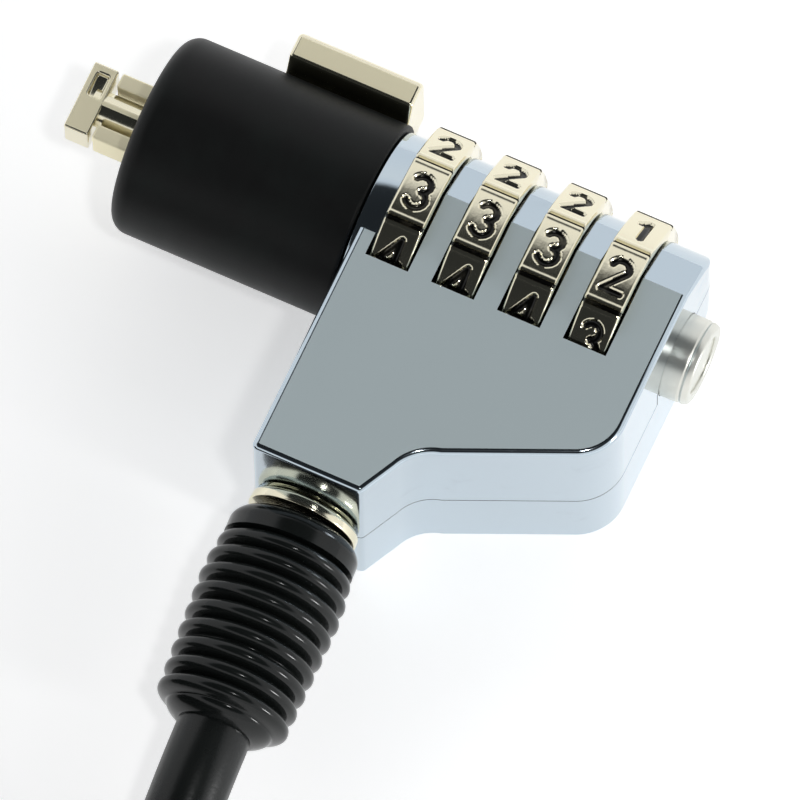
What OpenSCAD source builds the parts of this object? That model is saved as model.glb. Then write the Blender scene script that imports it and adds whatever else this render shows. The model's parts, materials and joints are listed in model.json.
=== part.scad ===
/* [Housing] */
// Width of the flat plate, along the barrel axis
plate_w = 23.3; // [23:0.1:25]
// Distance from the barrel axis to the end of the cable leg
leg_drop = 21.2; // [20.6:0.1:23]
// Width of the cable leg
leg_w = 8.7; // [8.5:0.1:9.5]
// Height of the front face above the barrel axis
front_h = 7.3; // [7.2:0.1:7.5]
// Height of the barrel axis above the back face
axis_h = 9.3; // [9.2:0.1:10]
// Radius of the rounded top of the housing, round the barrel axis
top_r = 7.2; // [7:0.1:7.2]

/* [Barrel] */
// Outer radius of the black turning sleeve
sleeve_r = 7.5; // [7.4:0.1:7.8]
// Length of the black turning sleeve
sleeve_len = 17.3; // [17:0.1:18]
// Length of the grip tab on the sleeve
tab_len = 9.6; // [9:0.1:11]
// Width of the grip tab across the sleeve
tab_w = 7; // [6:0.5:8]
// Distance from the barrel axis to the top of the grip tab
tab_top = 10.3; // [10:0.1:11]

/* [Locking head] */
// Reach of the locking head in front of the sleeve
nose_len = 5.5; // [5.3:0.1:6]
// Width of the locking head and of its guides
head_w = 5.4; // [5.2:0.1:6]
// Thickness of the locking head and of its guides
head_t = 2.7; // [2.5:0.1:2.8]
// Length of the T head at the tip
head_len = 1.9; // [1.7:0.1:2]

/* [Dials] */
// Number of digit dials
dial_n = 4; // [4:1:4]
// Radius of a dial over the corners between its digits
dial_r = 8.4; // [8.2:0.1:8.5]
// Width of a dial
dial_w = 2.9; // [2.8:0.1:2.9]
// Distance between neighbouring dials
dial_pitch = 5.1; // [5.1:0.05:5.2]
// Gap between the plate's left edge and the first dial
dial_x0 = 1.5; // [1.5:0.05:1.65]

/* [Button] */
// Radius of the end button
button_r = 3.15; // [3:0.05:3.4]
// Reach of the end button outside the housing
button_out = 2.1; // [2:0.1:2.5]
// Travel of the end button
button_travel = 1.2; // [1:0.1:1.2]

/* [Cable] */
// Outer diameter of the coated cable
cable_d = 5.5; // [5.5:0.1:5.5]
// Height of the cable axis below the barrel axis
cable_below = 1; // [0.8:0.1:1.2]
// Length of the ribbed strain relief
boot_len = 16.2; // [16:0.1:16.6]
// Number of ribs on the strain relief
boot_ribs = 9; // [8:1:10]

/* [Hidden] */
$fn = 96;
hull_fn = 32;

// Widths of clearances: running fits, seats of fixed pieces, and sides of dials
run = 0.05;
seat = 0.02;
side = 0.2;
seam_gap = 0.1;

// Distances along the barrel axis, from the plate's left edge
sleeve_x1 = -0.5;
sleeve_x0 = sleeve_x1 - sleeve_len;
tip_x = sleeve_x0 - nose_len;
button_x = plate_w + button_out;
ferrule_end = -leg_drop - 1.2;

// Where the middle of the head lies, so that the origin is below the middle of its box
x_mid = (tip_x + button_x) / 2;
y_mid = (ferrule_end + tab_top) / 2;

// Parting seam: level with the axis beside the dials, lower along the walls
seam_step_y = -3.4;
seam_low_z = -2;

// Bearing surfaces inside the barrel
core_r = 6.2;
boss_r = 4.5;
shaft_r = 1.4;
pin_r = 2;
tube_r = 3;
collar_r = 7.1;
collar_x0 = -0.4;
collar_x1 = 1.4;
drive_x = -8.4;
drive_r = 0.9;
drive_room = drive_r + 0.15;
spring_x0 = -6.9;
pin_x0 = -1.9;
tube_x0 = 0.5;
tube_x1 = 21.2;
key_w = 1.4;
key_r = 3.6;
key_t = 0.7;
code_r = 4.6;
button_x0 = plate_w - 0.7;

// Dials
flats = 10;
flat_deg = 360 / flats;
groove_w = 0.7;
groove_d = 0.35;
groove_deg = 24;
dial_clear = 0.3;

// Cable outlet in the leg
cable_r = cable_d / 2;
cable_x = leg_w / 2;
ferrule_r = 3.4;
strand_r = 1.9;
clip_y = -15.6;
clip_t = 0.6;
crimp_y = -15.4;
// The strain relief starts clear of the ferrule and leans with the cable
boot_y1 = ferrule_end - 0.35;
boot_deg = 3.2;
boot_y0 = boot_y1 - boot_len;

// Screws and pins that hold the shells together, as [x, y]
screw_spots = [[5.9, -12.1], [15.9, -11.4], [20.9, -7.9]];
dowel_spots = [[1.3, -13], [10.9, -12.6]];
screw_r = 0.8;
screw_head_r = 1.5;

// Route of the cable from the ferrule to the coil, in the frame of the whole part
run_route = [
    [3.31, -16.85, 8.3], [3.5, -20.3, 8.3], [3.78, -25.28, 8.3], [4.05, -30.2, 8.3],
    [4.24, -33.6, 8.3], [4.4, -36.6, 8.05], [4.65, -41, 7.2], [4.88, -46, 6], [5.08, -51, 4.8],
    [5.21, -56, 3.8], [5.28, -61, 3.15], [5.3, -66, 2.85], [5.3, -70, 2.78], [5.3, -74, 2.78]
];

// The coil: its middle, the mean radius of its turns, and how many lie beside and on each other
coil_c = [-28.2, -76];
coil_r = 28;
coil_wide = 3;
coil_high = 3;
tie_deg = 315;
tie_w = 10;
tie_t = 0.8;

// Route of the eye at the end of the cable, seen from the coil's middle
eye_z = 19.5;
eye_route = [
    [-25.5, 6.5], [-23.5, 14], [-17.5, 20], [-9, 23], [1, 22.5], [10, 18.5], [15.5, 11],
    [17, 2.5], [15.5, -6.5], [10.5, -13.5], [2.5, -18.5], [-6, -20], [-13.5, -17.5],
    [-18.5, -12], [-20, -6.5]
];
eye_feed = [[-8, -28.5], [-15.5, -25.5], [-21.5, -19.5], [-25, -12.5], [-25.5, -6.5]];
crimp_len = 13;

// ---- helpers ----

// Moves a piece drawn round the barrel axis to its place above the back face
module place() {
    translate([-x_mid, -y_mid, axis_h]) children();
}

// A cylinder along +X, from x0 to x1
module rod(x0, x1, r) {
    translate([x0, 0, 0]) rotate([0, 90, 0]) cylinder(h = x1 - x0, r = r);
}

// A box from one corner to the other
module span(a, b) {
    translate(a) cube(b - a);
}

// A round profile [radius, distance] turned round the barrel axis, distance along +X
module turned_x(profile) {
    rotate([90, 0, 90]) rotate_extrude() polygon(profile);
}

// A round profile [radius, distance] turned round the cable axis, distance along -Y
module turned_cable(profile) {
    translate([cable_x, 0, -cable_below]) rotate([90, 0, 0]) rotate_extrude() polygon(profile);
}

// Points of an arc of a circle
function arc(c, r, a0, a1, n) =
    [for (i = [0 : n]) let (a = a0 + (a1 - a0) * i / n) c + r * [cos(a), sin(a)]];

function unit(v) = v / norm(v);

// Direction of a route at point i
function heading(p, i) =
    unit(p[min(i + 1, len(p) - 1)] - p[max(i - 1, 0)]);

// A ring of points round one point of a route that never stands upright
function ring(c, t, r, sides) =
    let (u = unit(cross([0, 0, 1], t)), v = cross(t, u))
    [for (k = [0 : sides - 1]) let (a = 360 * (k + 0.5) / sides) c + r * (cos(a) * u + sin(a) * v)];

// A round tube swept along a route, closed by flat ends
module swept(route, r, sides) {
    n = len(route);
    points = [for (i = [0 : n - 1]) each ring(route[i], heading(route, i), r, sides)];
    walls = [for (i = [0 : n - 2], k = [0 : sides - 1])
        let (a = i * sides + k, b = i * sides + (k + 1) % sides)
        [a, b, b + sides, a + sides]];
    first = [for (k = [sides - 1 : -1 : 0]) k];
    last = [for (k = [0 : sides - 1]) (n - 1) * sides + k];
    polyhedron(points = points, faces = concat([first], walls, [last]), convexity = 8);
}

// ---- housing ----

// Outline of the plate seen from the front: leg, S-curve, slanted foot, round corners
module plate_outline() {
    foot_y = -16.1;
    heel = [20.2, -12.5];
    polygon(concat(
        [[0, -leg_drop], [leg_w, -leg_drop]],
        arc([leg_w + 4.6, foot_y - 3.6], 3.6, 158, 104, 8),
        arc([heel[0] - 0.7, heel[1] + 3.6], 3.8, -64, 0, 10),
        arc([plate_w - 2, top_r - 2], 2, 0, 90, 8),
        [[0, top_r]]
    ));
}

// Side profile of the housing: flat front and back, round top, one facet in front
module housing_profile() {
    facet_in = [1.75, front_h];
    facet_out = [4.9, 5.3];
    union() {
        rod(-1, plate_w + 1, top_r);
        rotate([90, 0, 90]) translate([0, 0, -1]) linear_extrude(plate_w + 2)
            polygon([
                [-30, -axis_h], [0.6, -axis_h], [5, -5.2], [facet_out[0], facet_out[1]],
                facet_in, [-30, front_h]
            ]);
    }
}

// What is trimmed from the round top so that the facet shows
module facet_trim() {
    rotate([90, 0, 90]) translate([0, 0, -2]) linear_extrude(plate_w + 4)
        polygon([[1.75, front_h], [4.9, 5.3], [8.2, 3.2], [8.2, front_h + 2], [1.75, front_h + 2]]);
}

module housing_block() {
    difference() {
        intersection() {
            translate([0, 0, -axis_h]) linear_extrude(axis_h + front_h) plate_outline();
            housing_profile();
        }
        // the collar stands free of the shells above the plate
        span([-1, -3, -axis_h - 1], [collar_x1 + 0.1, 12, front_h + 1]);
        rod(-1, collar_x1 + 0.05, collar_r + seat);
        // room for the dials
        for (k = [0 : dial_n - 1]) {
            rod(dial_x0 + k * dial_pitch - side, dial_x0 + k * dial_pitch + dial_w + side,
                dial_r + dial_clear);
        }
        // the axle tube, its key, and the button
        rod(collar_x1, tube_x1 + 0.1, tube_r + seat);
        span([dial_x0, -key_w / 2 - side, 0], [plate_w - 1.1, key_w / 2 + side, key_r + 0.4]);
        rod(tube_x1, plate_w + 1, button_r + run);
        tongue(seat);
        cable_outlet();
        detent_bores();
        screw_holes();
    }
}

// Tongue that keeps the core from turning and holds it between the shells
module tongue(grow) {
    span([0.3 - grow, -10 - grow, -1.6 - grow], [1.3 + grow, -5, 1.6 + grow]);
}

module cable_outlet() {
    turned_cable([
        [0, 13.6], [3, 13.6], [3, 15], [4, 15], [4, 15.65], [ferrule_r + run, 15.65],
        [ferrule_r + run, leg_drop - 0.5], [3.9, leg_drop], [3.9, leg_drop + 1], [0, leg_drop + 1]
    ]);
}

module detent_bores() {
    for (k = [0 : dial_n - 1]) {
        translate([dial_x0 + k * dial_pitch + dial_w / 2, -8, 0]) rotate([90, 0, 0])
            cylinder(h = 3.6, r = 0.65);
    }
}

module screw_holes() {
    for (p = screw_spots) {
        translate([p[0], p[1], -axis_h - 1]) cylinder(h = 12, r = screw_r + seat);
        translate([p[0], p[1], -axis_h - 1]) cylinder(h = 2, r = screw_head_r + 0.1);
    }
    for (p = dowel_spots) {
        translate([p[0], p[1], -5]) cylinder(h = 6, r = 0.7 + seat);
    }
}

// Everything in front of the stepped parting seam
module front_side() {
    rotate([90, 0, 90]) translate([0, 0, -3]) linear_extrude(plate_w + 6) polygon([
        [-40, seam_low_z], [seam_step_y, seam_low_z], [seam_step_y, 0], [20, 0], [20, 20], [-40, 20]
    ]);
}

module back_side() {
    rotate([90, 0, 90]) translate([0, 0, -3]) linear_extrude(plate_w + 6) polygon([
        [-40, seam_low_z - seam_gap], [seam_step_y + seam_gap, seam_low_z - seam_gap],
        [seam_step_y + seam_gap, -seam_gap], [20, -seam_gap], [20, -20], [-40, -20]
    ]);
}

module front_shell() {
    color("#9eb0b8") place() intersection() {
        housing_block();
        front_side();
    }
}

module back_shell() {
    color("#b4c4d4") place() intersection() {
        housing_block();
        back_side();
    }
}

module shell_screws() {
    color("#b8b8b0") place() for (p = screw_spots) {
        translate([p[0], p[1], -axis_h + 0.2]) difference() {
            union() {
                cylinder(h = 9.4, r = screw_r);
                cylinder(h = 0.8, r = screw_head_r);
            }
            for (a = [0, 90]) {
                rotate(a) translate([-1, -0.2, -1]) cube([2, 0.4, 1.4]);
            }
        }
    }
}

module shell_dowels() {
    color("#a8a8a8") place() for (p = dowel_spots) {
        translate([p[0], p[1], -4.9]) cylinder(h = 5.8, r = 0.7);
    }
}

// ---- barrel ----

// Fixed core: bears the sleeve, guides the shaft and pin, and ends in the chrome collar
module barrel_core() {
    color("#c9d3d6") place() difference() {
        union() {
            rod(sleeve_x0 + 0.85, collar_x0, core_r);
            rod(sleeve_x0 + 0.2, sleeve_x0 + 1, boss_r);
            rod(collar_x0, collar_x1, collar_r);
            tongue(0);
        }
        rod(sleeve_x0, 3, shaft_r + run);
        rod(spring_x0, 3, pin_r + run);
        rod(tube_x0 - 0.1, 3, tube_r + seat);
        // slot through which the drive pin turns a quarter turn
        span([drive_x - drive_room, -drive_room, -drive_room],
             [drive_x + drive_room, core_r + 1, core_r + 1]);
    }
}

// Two fixed blocks that fill the security slot beside the neck of the T head
module nose_guides() {
    gap = shaft_r + 0.15;
    color("#cdc6a6") place() for (s = [-1, 1]) {
        difference() {
            span([tip_x + head_len + 0.3, s > 0 ? gap : -head_w / 2, -head_t / 2],
                 [sleeve_x0 + 0.2, s > 0 ? head_w / 2 : -gap, head_t / 2]);
            // chamfers on the outer edges
            for (z = [-1, 1]) {
                translate([tip_x, s * head_w / 2, z * head_t / 2]) rotate([45, 0, 0])
                    translate([0, -0.25, -0.25]) cube([10, 0.5, 0.5]);
            }
        }
    }
}

// Black sleeve that turns on the core, with a lip in front
module barrel_sleeve() {
    edge = 1.3;
    color("#1b1d1e") place() difference() {
        turned_x(concat(
            [[boss_r + run, sleeve_x0]],
            [for (p = arc([sleeve_r - edge, sleeve_x0 + edge], edge, -90, 0, 8)) p],
            [[sleeve_r, sleeve_x1 - 0.3], [sleeve_r - 0.3, sleeve_x1], [core_r + run, sleeve_x1],
             [core_r + run, sleeve_x0 + 0.8], [boss_r + run, sleeve_x0 + 0.8]]
        ));
        translate([drive_x, 0, 0]) rotate([-90, 0, 0]) cylinder(h = 9, r = drive_r + seat);
    }
}

// Nickel grip tab seated on the sleeve
module grip_tab() {
    x1 = sleeve_x1 - 0.5;
    color("#d6cfae") place() difference() {
        rotate([90, 0, 90]) translate([0, 0, x1 - tab_len]) linear_extrude(tab_len) polygon([
            [5, -tab_w / 2], [tab_top - 0.5, -tab_w / 2], [tab_top, -tab_w / 2 + 0.5],
            [tab_top, tab_w / 2 - 0.9], [tab_top - 0.5, tab_w / 2], [5, tab_w / 2]
        ]);
        rod(sleeve_x0, 1, sleeve_r + seat);
        translate([drive_x, 0, 0]) rotate([-90, 0, 0]) cylinder(h = 9, r = drive_r + seat);
    }
}

// Pin that ties the tab, the sleeve and the T shaft together
module drive_pin() {
    color("#a8a8a8") place()
        translate([drive_x, -shaft_r + 0.2, 0]) rotate([-90, 0, 0]) cylinder(h = 10, r = drive_r);
}

// T head, neck and shaft in one piece
module t_bar() {
    head_chamfer = 0.35;
    color("#d2cba8") place() difference() {
        union() {
            rotate([90, 0, 90]) translate([0, 0, tip_x]) linear_extrude(head_len) polygon([
                [-head_w / 2 + head_chamfer, -head_t / 2], [head_w / 2 - head_chamfer, -head_t / 2],
                [head_w / 2, -head_t / 2 + head_chamfer], [head_w / 2, head_t / 2 - head_chamfer],
                [head_w / 2 - head_chamfer, head_t / 2], [-head_w / 2 + head_chamfer, head_t / 2],
                [-head_w / 2, head_t / 2 - head_chamfer], [-head_w / 2, -head_t / 2 + head_chamfer]
            ]);
            rod(tip_x + 1, spring_x0 - 0.1, shaft_r - 0.05);
        }
        // shallow recess in the face of the head
        span([tip_x + 0.5, 0.2, head_t / 2 - 0.4], [tip_x + 1.4, 2.3, head_t / 2 + 1]);
        translate([drive_x, -5, 0]) rotate([-90, 0, 0]) cylinder(h = 10, r = drive_r + seat);
    }
}

// ---- lock works ----

// Fixed slotted tube that carries the dials
module axle_tube() {
    color("#b9b49c") place() difference() {
        rod(tube_x0, tube_x1, tube_r);
        rod(tube_x0 - 1, tube_x1 + 1, pin_r + run);
        span([dial_x0 + 1, -key_w / 2 - 0.1, 0], [tube_x1 + 1, key_w / 2 + 0.1, 5]);
    }
}

// One number dial: ten flats, a groove at each corner, a plain bore
module dial(k) {
    x0 = dial_x0 + (k - 1) * dial_pitch;
    color("#cfc8a8") place() translate([x0, 0, 0]) difference() {
        rotate([-groove_deg, 0, 0]) rotate([0, 90, 0]) cylinder(h = dial_w, r = dial_r, $fn = flats);
        rod(-1, dial_w + 1, code_r + seat);
        for (i = [0 : flats - 1]) {
            rotate([-groove_deg - i * flat_deg, 0, 0])
                span([-1, -groove_w / 2, dial_r - groove_d], [dial_w + 1, groove_w / 2, dial_r + 1]);
        }
    }
}

// Code ring inside a dial: runs on the axle tube and has one gate for the keys
module code_ring(k) {
    x0 = dial_x0 + (k - 1) * dial_pitch;
    color("#b3a36a") place() translate([x0, 0, 0]) difference() {
        rod(0, dial_w, code_r);
        rod(-1, dial_w + 1, tube_r + run);
        span([-1, -key_w / 2 - 0.15, 0], [dial_w + 1, key_w / 2 + 0.15, key_r + 0.2]);
    }
}

// Locking pin: slides in the tube, one key beside each dial, pushed by the button
module lock_pin() {
    color("#b0b2b4") place() union() {
        rod(pin_x0, button_x0 + 0.5, pin_r);
        for (k = [1 : dial_n]) {
            x1 = dial_x0 + k * dial_pitch - 0.15;
            span([x1 - key_t, -key_w / 2, 0], [x1, key_w / 2, key_r]);
        }
    }
}

module end_button() {
    color("#cfcab0") place() turned_x([
        [pin_r, button_x0], [button_r, button_x0], [button_r, button_x - 0.45],
        [button_r - 0.15, button_x - 0.15], [button_r - 0.45, button_x], [button_r - 0.8, button_x],
        [button_r - 0.95, button_x - 0.12], [0, button_x - 0.12], [0, button_x0 + 0.5],
        [pin_r, button_x0 + 0.5]
    ]);
}

// Return spring of the button, in the core behind the T shaft
module button_spring() {
    turns = 6;
    steps = 12;
    wire_r = 0.17;
    mean_r = 1.65;
    x0 = spring_x0 + wire_r + 0.05;
    x1 = pin_x0 - wire_r - 0.05;
    route = [for (i = [0 : turns * steps])
        let (a = 360 * i / steps, t = i / (turns * steps))
        [mean_r * cos(a), mean_r * sin(a), x0 + (x1 - x0) * t]];
    color("#8f9498") place() rotate([90, 0, 90]) swept(route, wire_r, 6);
}

module detent_balls() {
    color("#c8c8c8") place() for (k = [0 : dial_n - 1]) {
        translate([dial_x0 + k * dial_pitch + dial_w / 2, -9.1, 0]) sphere(r = 0.6);
    }
}

module detent_springs() {
    color("#8f9498") place() for (k = [0 : dial_n - 1]) {
        translate([dial_x0 + k * dial_pitch + dial_w / 2, -9.7, 0]) rotate([90, 0, 0])
            difference() {
                cylinder(h = 1.85, r = 0.55);
                translate([0, 0, -1]) cylinder(h = 4, r = 0.3);
            }
    }
}

// ---- cable outlet ----

module swivel_ferrule() {
    color("#d4cdb0") place() turned_cable([
        [strand_r + run, 14.2], [2.8, 14.2], [2.8, 15.7], [ferrule_r, 15.7],
        [ferrule_r, leg_drop + 0.15], [4, leg_drop + 0.25], [4.15, leg_drop + 0.5],
        [4.15, -ferrule_end], [strand_r + run, -ferrule_end]
    ]);
}

// Ring that holds the ferrule in the leg and lets it turn
module ferrule_clip() {
    color("#9a9ea2") place() turned_cable([
        [2.85, 15.05], [3.97, 15.05], [3.97, 15.05 + clip_t], [2.85, 15.05 + clip_t]
    ]);
}

// Bare steel strand inside the ferrule
module strand_end() {
    color("#9ba0a4") place() turned_cable([
        [0, 14], [strand_r, 14], [strand_r, -ferrule_end], [0, -ferrule_end]
    ]);
}

// Stop crimped on the end of the strand
module stop_crimp() {
    color("#b5b9bc") place() turned_cable([
        [0, 13.7], [2.5, 13.7], [2.5, 14], [0, 14]
    ]);
}

// Ribbed strain relief: a smooth collar, then ribs that get smaller toward the cable
module boot() {
    bore = cable_r + run;
    collar_len = 2.3;
    tail = 1.2;
    pitch = (boot_len - collar_len - tail) / boot_ribs;
    function rib_r(t) = 5.45 - 0.65 * t;
    ribs = [for (i = [0 : boot_ribs - 1])
        let (d = -boot_y1 + collar_len + i * pitch, r = rib_r(i / boot_ribs))
        each [[r - 0.95, d], [r - 0.95, d + 0.25 * pitch], [r, d + 0.45 * pitch],
              [r, d + 0.8 * pitch], [r - 0.95, d + pitch]]];
    color("#141516") place() translate([cable_x, boot_y1, -cable_below]) rotate([0, 0, boot_deg])
        translate([-cable_x, -boot_y1, cable_below]) turned_cable(concat(
        [[bore, -boot_y1], [4.9, -boot_y1], [5.3, -boot_y1 + 0.4], [5.3, -boot_y1 + collar_len - 0.3]],
        ribs,
        [[3.9, -boot_y0 - 0.3], [3.6, -boot_y0], [bore, -boot_y0]]
    ));
}

// ---- cable ----

module cable_run() {
    color("#161718") swept(run_route, cable_r - 0.01, 12);
}

// Outer shape of the wound coil, notched where the tie goes round it
module cable_coil() {
    w = coil_wide * cable_d;
    h = coil_high * cable_d;
    c = 1.6;
    r0 = coil_r - w / 2;
    r1 = coil_r + w / 2;
    color("#161718") translate([coil_c[0], coil_c[1], 0]) difference() {
        rotate_extrude() polygon([
            [r0 + c, 0], [r1 - c, 0], [r1, c], [r1, h - c], [r1 - c, h], [r0 + c, h], [r0, h - c], [r0, c]
        ]);
        rotate(tie_deg) translate([r0 - 1, -tie_w / 2, -1]) cube([w + 2, tie_w, tie_t + 1]);
    }
}

module coil_tie() {
    w = coil_wide * cable_d;
    h = coil_high * cable_d;
    r0 = coil_r - w / 2;
    color("#0e0f10") translate([coil_c[0], coil_c[1], 0]) rotate(tie_deg) difference() {
        translate([r0 - 1 - tie_t, -tie_w / 2, 0]) cube([w + 2 + 2 * tie_t, tie_w, h + 0.1 + tie_t]);
        translate([r0 - 1, -tie_w, tie_t]) cube([w + 2, 2 * tie_w, h + 0.1 - tie_t]);
    }
}

module cable_eye() {
    feed = [for (p = eye_feed) [coil_c[0] + p[0], coil_c[1] + p[1], eye_z]];
    eye = [for (p = eye_route) [coil_c[0] + p[0], coil_c[1] + p[1], eye_z]];
    color("#161718") union() {
        swept(feed, cable_r - 0.01, 12);
        swept(eye, cable_r - 0.01, 12);
    }
}

// Crimp that closes the eye round both strands
module eye_crimp() {
    color("#b5b9bc") translate([coil_c[0] - 22.75, coil_c[1] - crimp_len / 2, eye_z])
        rotate([-90, 0, 0]) hull() {
            for (s = [-1, 1]) {
                translate([s * cable_d / 2, 0, 0]) cylinder(h = crimp_len, r = cable_r + 0.25, $fn = hull_fn);
            }
        }
}

// ---- assembly ----

front_shell();
back_shell();
shell_screws();
shell_dowels();
barrel_core();
nose_guides();
barrel_sleeve();
grip_tab();
drive_pin();
t_bar();
axle_tube();
for (k = [1 : dial_n]) {
    dial(k);
    code_ring(k);
}
lock_pin();
end_button();
button_spring();
detent_balls();
detent_springs();
swivel_ferrule();
ferrule_clip();
strand_end();
stop_crimp();
boot();
cable_run();
cable_coil();
coil_tie();
cable_eye();
eye_crimp();
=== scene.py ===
"""Combination cable lock for a laptop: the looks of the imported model."""
import json
import math

import bmesh
import bpy
import numpy as np
from mathutils import Matrix, Vector


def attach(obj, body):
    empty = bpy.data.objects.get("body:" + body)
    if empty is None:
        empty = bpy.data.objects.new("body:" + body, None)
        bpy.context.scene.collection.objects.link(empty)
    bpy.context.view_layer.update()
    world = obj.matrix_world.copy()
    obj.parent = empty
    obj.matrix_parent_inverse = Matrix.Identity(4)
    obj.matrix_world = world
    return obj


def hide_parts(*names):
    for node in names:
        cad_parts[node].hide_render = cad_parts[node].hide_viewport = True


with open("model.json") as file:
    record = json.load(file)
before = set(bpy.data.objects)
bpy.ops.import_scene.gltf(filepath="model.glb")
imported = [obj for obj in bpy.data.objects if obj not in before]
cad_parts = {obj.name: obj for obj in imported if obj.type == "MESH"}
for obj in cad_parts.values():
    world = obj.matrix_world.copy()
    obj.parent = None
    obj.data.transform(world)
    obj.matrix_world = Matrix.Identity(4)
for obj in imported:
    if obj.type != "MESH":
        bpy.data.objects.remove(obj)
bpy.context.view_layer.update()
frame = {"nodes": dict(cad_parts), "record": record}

MM = 0.001

# All sizes below are in millimetres. The barrel axis runs along x through AXIS, and the housing,
# barrel, dials and ferrule are described round it.
AXIS = np.array([-1.05, 6.05, 9.3])

# Housing: its width, the drop and width of the cable leg, its faces before and behind the axis,
# the curve of its top, and how far its rims are rounded
PLATE_W = 23.3
LEG_DROP = 21.2
LEG_W = 8.7
FRONT_H = 7.3
BACK_H = 9.3
TOP_R = 7.2
RIM_EASE = 0.45
END_EASE = 0.5
CORNER_R = 0.5
SCREWS = [(5.9, -12.1), (15.9, -11.4), (20.9, -7.9)]
SCREW_SEAT_R = 1.6
SCREW_SEAT_DEEP = 1.1

# Barrel sleeve and its rolled rim, and the tip of the T head
SLEEVE_R = 7.5
SLEEVE_X0 = -17.8
SLEEVE_X1 = -0.5
SLEEVE_RIM_R = 1.3
HEAD_TIP_X = -23.3
HEAD_HALF_W = 2.7
HEAD_HALF_T = 1.35

# Dials: ten flats each, the first flat's angle from straight ahead, and the room round a dial
DIAL_R = 8.4
DIAL_W = 2.9
DIAL_PITCH = 5.1
DIAL_X0 = 1.5
DIAL_BORE_R = 4.62
DIAL_STEP_R = 6.6
FIRST_FLAT_DEG = 42
FLAT_DEG = 36
DIAL_GAP = 0.2

# Cut digits and the grooved bars between them
STROKE_HALF_W = 0.3
STROKE_DEEP = 0.24
BAR_FROM_MIDDLE = 2.73
BAR_HALF_W = 0.34
BAR_DEEP = 0.34
CROWN = 0.16

# Cable outlet, cable and coil
CABLE_X = 4.35
CABLE_Z = -1.0
CABLE_D = 5.5
BOOT_Y = -22.75
BOOT_LEAN_DEG = 3.2
COIL_X, COIL_Y = -28.2, -76.0
EYE_Z = 19.5
TIE_DEG = 315
CRIMP_FROM_COIL = -22.75


# ---------------------------------------------------------------- node trees

class Wire:
    """An output socket that takes part in arithmetic and adds the Math nodes it needs."""

    def __init__(self, graph, socket):
        self.graph = graph
        self.socket = socket

    def _sum(self, operation, *values):
        inputs = dict(enumerate(values))
        return self.graph.node("ShaderNodeMath", {"operation": operation}, inputs)

    def __add__(self, other):
        return self._sum("ADD", self, other)

    def __radd__(self, other):
        return self._sum("ADD", other, self)

    def __sub__(self, other):
        return self._sum("SUBTRACT", self, other)

    def __rsub__(self, other):
        return self._sum("SUBTRACT", other, self)

    def __mul__(self, other):
        return self._sum("MULTIPLY", self, other)

    def __truediv__(self, other):
        return self._sum("DIVIDE", self, other)

    def __pow__(self, other):
        return self._sum("POWER", self, other)

    def apply(self, operation, *others):
        return self._sum(operation, self, *others)


class Graph:
    """A node tree in which one method adds any node, with its settings and its inputs."""

    def __init__(self, tree):
        self.tree = tree

    def node(self, kind, settings=None, inputs=None, out=0):
        made = self.tree.nodes.new(kind)
        for name, value in (settings or {}).items():
            if name == "stops":
                self._stops(made, value)
            else:
                setattr(made, name, value)
        for name, value in (inputs or {}).items():
            socket = made.inputs[name]
            if isinstance(value, Wire):
                self.tree.links.new(value.socket, socket)
            else:
                socket.default_value = value
        return Wire(self, made.outputs[out]) if made.outputs else made

    def _stops(self, ramp_node, stops):
        ramp = ramp_node.color_ramp
        while len(ramp.elements) < len(stops):
            ramp.elements.new(0.5)
        for element, (place, colour) in zip(ramp.elements, stops):
            element.position = place
            element.color = colour


class Finish(Graph):
    """A material, its Principled shader, and patterns in object coordinates."""

    def __init__(self, name, colour, metallic=0.0, roughness=0.4, **sockets):
        self.material = bpy.data.materials.new(name)
        self.material.use_nodes = True
        super().__init__(self.material.node_tree)
        self.shader = self.tree.nodes["Principled BSDF"]
        self.put("Base Color", (*colour, 1))
        self.put("Metallic", metallic)
        self.put("Roughness", roughness)
        for name, value in sockets.items():
            self.put(name.replace("_", " ").title().replace("Ior", "IOR"), value)
        self.place = self.node("ShaderNodeTexCoord", out=3)

    def put(self, name, value):
        socket = self.shader.inputs[name]
        if isinstance(value, Wire):
            self.tree.links.new(value.socket, socket)
        else:
            socket.default_value = value

    def mapped(self, scale=(1, 1, 1), turn=(0, 0, 0)):
        return self.node("ShaderNodeMapping", inputs={
            "Vector": self.place, "Scale": scale, "Rotation": turn})

    def noise(self, scale, detail=3.0, rough=0.5, vector=None):
        return self.node("ShaderNodeTexNoise", inputs={
            "Vector": vector or self.place, "Scale": scale, "Detail": detail, "Roughness": rough})

    def ramp(self, value, low, high):
        return self.node("ShaderNodeMapRange", {"interpolation_type": "SMOOTHSTEP"}, {
            "Value": value, "From Min": low, "From Max": high})

    def blend(self, mask, colour_a, colour_b):
        made = self.tree.nodes.new("ShaderNodeMix")
        made.data_type = "RGBA"
        for name, value in (("Factor", mask), ("A", colour_a), ("B", colour_b)):
            socket = [s for s in made.inputs if s.name == name and s.enabled][0]
            if isinstance(value, Wire):
                self.tree.links.new(value.socket, socket)
            else:
                socket.default_value = value if name == "Factor" else (*value, 1)
        return Wire(self, [s for s in made.outputs if s.enabled][0])

    def bump(self, height, depth, strength=1.0):
        normal = self.node("ShaderNodeBump", inputs={
            "Height": height, "Distance": depth, "Strength": strength})
        self.put("Normal", normal)


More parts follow.
